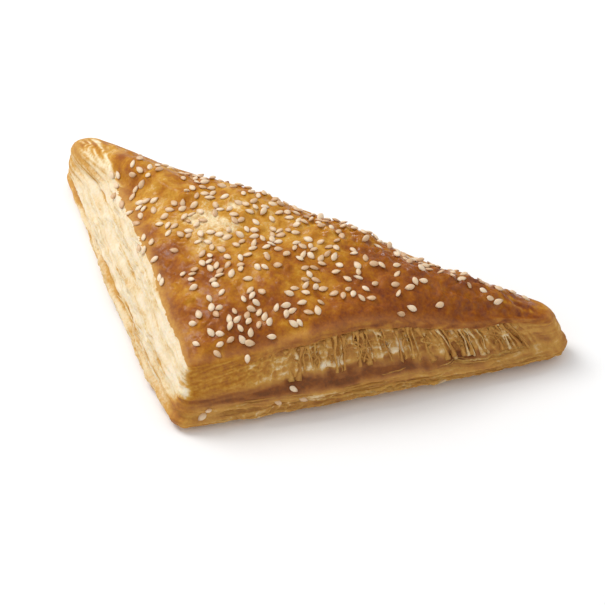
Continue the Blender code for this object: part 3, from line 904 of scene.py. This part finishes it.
def scatter(kept, count, seeded, reach):
    """Adds seeds to those that are kept, until there are as many as the count."""
    draw = random.Random(SEED_DRAW)
    left, front, right = CORNERS
    edges = ((left, front), (front, right), (right, left))
    while len(kept) < count:
        spot = Vector((draw.uniform(left.x, right.x), draw.uniform(front.y, left.y)))
        luck, turn = draw.random(), draw.uniform(0, math.tau)
        reached = CENTRE + (spot - CENTRE) / reach
        inside = all((b - a).cross(reached - a) > 0 for a, b in edges)
        if not inside or luck > seed_density(*spot, seeded):
            continue
        if all(math.dist(spot, other) > SEED_GAP for other, _ in kept):
            kept.append((spot, turn))


def seed_shape():
    """Points of one seed in rings along X, and 1 at its point, falling to 0 behind."""
    t = np.linspace(0.015, 0.985, SEED_RINGS)
    width = np.sin(np.pi * t) ** 0.62 * (1 - 0.42 * t) * 1.18
    angle = np.arange(SEED_SIDES) * math.tau / SEED_SIDES
    rings = np.empty((SEED_RINGS, SEED_SIDES, 3))
    rings[..., 0] = ((t - 0.5) * SEED_LENGTH)[:, None]
    rings[..., 1] = width[:, None] * np.cos(angle) * SEED_WIDTH / 2
    rings[..., 2] = width[:, None] * np.sin(angle) * SEED_THICKNESS / 2
    return rings, np.repeat(np.clip((t - 0.72) / 0.25, 0, 1)[:, None], SEED_SIDES, 1)


def seed_frames():
    """The matrix of each seed, lying on the crust."""
    skin = crust.data
    surface = BVHTree.FromPolygons([v.co for v in skin.vertices], [f.vertices for f in skin.polygons])
    draw = random.Random(SEED_DRAW + 1)
    found, kept = [], []
    scatter(kept, SEEDS, SEEDED_PLACES, SEED_REACH)
    scatter(kept, SEEDS + CREST_SEEDS, CREST_PLACES, CREST_REACH)
    for spot, turn in kept:
        hit = surface.ray_cast(Vector((*spot, 1)) + HOME, Vector((0, 0, -1)))
        found.append((hit[0], hit[1], turn))
    for place, level in STRAY_SEEDS:
        point, out = edge_at(np.array(place))
        height = around(SHOULDER_HEIGHTS, place) * MM * level
        start = Vector((*(point + out * 20 * MM), height)) + HOME
        hit = surface.ray_cast(start, Vector((*-out, 0)))
        found.append((hit[0], hit[1], draw.uniform(0, math.tau)))
    for point, up, turn in found:
        size = draw.uniform(*SEED_SIZES)
        facing = up.to_track_quat("Z", "X").to_matrix() @ Matrix.Rotation(turn, 3, "Z")
        for spread, axis in zip(SEED_TILTS, "XY"):
            facing = facing @ Matrix.Rotation(draw.gauss(0, spread), 3, axis)
        shape = facing @ Matrix.Diagonal((size, size * draw.uniform(*SEED_WIDTHS), size))
        yield Matrix.Translation(point + up * SEED_THICKNESS * (0.5 - SEED_SUNK)) @ shape.to_4x4()


def sesame_mesh():
    """One mesh of all the seeds, with the tone of each seed and how near each spot is to its point."""
    rings, point_share = seed_shape()
    steps, sides, _ = rings.shape
    at = np.arange(steps * sides).reshape(steps, sides)
    quads = np.stack((at[:-1], np.roll(at[:-1], -1, 1), np.roll(at[1:], -1, 1), at[1:]), -1).reshape(-1, 4)
    draw = random.Random(SEED_DRAW + 2)
    points, faces, tones, tips = [], [], [], []
    flat = np.concatenate((rings.reshape(-1, 3), np.ones((steps * sides, 1))), 1)
    for i, matrix in enumerate(seed_frames()):
        points.append((flat @ np.array(matrix).T)[:, :3])
        shift = i * steps * sides
        faces += (quads + shift).tolist() + [(at[0][::-1] + shift).tolist(), (at[-1] + shift).tolist()]
        tones.append(np.full(steps * sides, draw.random()))
        tips.append(point_share.ravel())
    mesh = bpy.data.meshes.new("sesame")
    mesh.from_pydata(np.concatenate(points).tolist(), [], faces)
    for label, values in (("tone", tones), ("tip", tips)):
        mesh.attributes.new(label, "FLOAT", "POINT").data.foreach_set("value", np.concatenate(values))
    mesh.shade_smooth()
    return mesh


SEED_COLOURS = ((0.0, linear(232, 210, 180)), (0.55, linear(222, 193, 156)), (1.0, linear(202, 162, 120)))
SEED_POINT_COLOUR = linear(160, 106, 62)


def hulled_sesame():
    material = bpy.data.materials.new("hulled sesame")
    material.use_nodes = True
    shade = Shade(material.node_tree)
    shader = material.node_tree.nodes["Principled BSDF"]
    where = shade.node("TexCoord", {}, {}, "Object")
    tone = shade.attribute("tone") + (shade.grain(where, 0.9 * MM) - 0.5) * 0.5
    body = shade.node("ValToRGB", {"stops": SEED_COLOURS}, {0: tone})
    colour = shade.mixed(shade.attribute("tip") * 0.7, body, (*SEED_POINT_COLOUR, 1))
    material.node_tree.links.new(colour.socket, shader.inputs["Base Color"])
    shader.inputs["Roughness"].default_value = 0.42
    shader.inputs["Subsurface Weight"].default_value = 0.15
    shader.inputs["Subsurface Radius"].default_value = (1.0, 0.6, 0.3)
    shader.inputs["Subsurface Scale"].default_value = 0.8 * MM
    return material


sesame = placed(sesame_mesh(), hulled_sesame())


# The table: a plain white sheet under the pastry, lit by one large soft lamp from the left and by the even
# white light of the room.
FLOOR_REACH = 3
ROOM_LIGHT = 0.74
LAMP_WAY = Vector((-0.6, 0.06, 0.8))
LAMP_DISTANCE = 1.1
LAMP_SIZE = 0.5
LAMP_WATTS = 7.1


def white_floor():
    material = bpy.data.materials.new("white floor")
    material.use_nodes = True
    shader = material.node_tree.nodes["Principled BSDF"]
    shader.inputs["Base Color"].default_value = (0.93, 0.93, 0.93, 1)
    shader.inputs["Roughness"].default_value = 0.7
    return material


floor_mesh = bpy.data.meshes.new("floor")
floor_corners = [(FLOOR_REACH * x, FLOOR_REACH * y, 0) for x, y in ((-1, -1), (1, -1), (1, 1), (-1, 1))]
floor_mesh.from_pydata(floor_corners, [], [(0, 1, 2, 3)])
floor_mesh.materials.append(white_floor())
floor = bpy.data.objects.new("floor", floor_mesh)
bpy.context.scene.collection.objects.link(floor)

room = bpy.data.worlds.new("room")
room.use_nodes = True
room.node_tree.nodes["Background"].inputs["Color"].default_value = (1, 1, 1, 1)
room.node_tree.nodes["Background"].inputs["Strength"].default_value = ROOM_LIGHT
bpy.context.scene.world = room

lamp_data = bpy.data.lights.new("key lamp", "AREA")
lamp_data.shape = "SQUARE"
lamp_data.size = LAMP_SIZE
lamp_data.energy = LAMP_WATTS
lamp = bpy.data.objects.new("key lamp", lamp_data)
lamp.location = LAMP_WAY.normalized() * LAMP_DISTANCE
lamp.rotation_euler = LAMP_WAY.to_track_quat("Z", "Y").to_euler()
bpy.context.scene.collection.objects.link(lamp)


# The camera: 0.9 m away, 29 degrees round to the right of the front corner and 43 degrees up, aimed so that
# the pastry sits in the frame as it does in the photograph.
AZIMUTH, ELEVATION = math.radians(29.31), math.radians(43.44)
CAMERA_DISTANCE = 0.9
PIXELS_PER_METRE = 3382
FRAME_WIDTH = 605
SENSOR_WIDTH = 36
TARGET = Vector((0, 0, 10 * MM))
TARGET_PIXEL = (250.3, 314.5)

away = Vector(
    (
        math.sin(AZIMUTH) * math.cos(ELEVATION),
        -math.cos(AZIMUTH) * math.cos(ELEVATION),
        math.sin(ELEVATION),
    )
)
right = Vector((math.cos(AZIMUTH), math.sin(AZIMUTH), 0))
up = away.cross(right)
view_data = bpy.data.cameras.new("camera")
view_data.sensor_width = SENSOR_WIDTH
view_data.lens = PIXELS_PER_METRE * CAMERA_DISTANCE / FRAME_WIDTH * SENSOR_WIDTH
camera = bpy.data.objects.new("camera", view_data)
camera.location = TARGET + away * CAMERA_DISTANCE
aim = TARGET + right * (FRAME_WIDTH / 2 - TARGET_PIXEL[0]) / PIXELS_PER_METRE
aim += up * (TARGET_PIXEL[1] - FRAME_WIDTH / 2) / PIXELS_PER_METRE
camera.rotation_euler = (aim - camera.location).to_track_quat("-Z", "Y").to_euler()
bpy.context.scene.collection.objects.link(camera)
bpy.context.scene.camera = camera
bpy.context.scene.view_settings.view_transform = "Standard"
